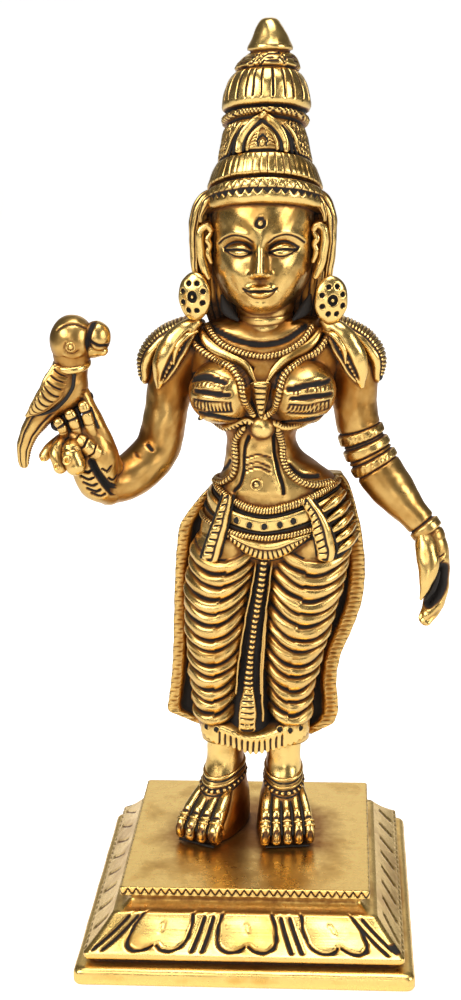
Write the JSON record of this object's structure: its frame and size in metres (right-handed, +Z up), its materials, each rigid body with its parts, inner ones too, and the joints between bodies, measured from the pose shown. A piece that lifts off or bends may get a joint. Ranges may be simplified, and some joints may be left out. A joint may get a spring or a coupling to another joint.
{
  "type": "statuette",
  "caption": "Cast brass statuette of a standing goddess in a tall crown with a parrot on her raised hand, on a stepped square lotus plinth.",
  "frame": {"origin": "centre of the plinth's flat underside", "axes": "+Z up; the front of the figure looks along -Y; +X is the viewer's right as one faces the front"},
  "size_m": [0.0931, 0.0746, 0.2],
  "materials": {
    "plinth_brass": "cast brass, brushed on the flats, with blackened engraved lines",
    "figure_brass": "cast brass, polished on the high parts, blackened and brown in the recesses"
  },
  "bodies": {
    "root": {"plinth": "plinth_brass", "figure": "figure_brass"}
  },
  "joints": []
}
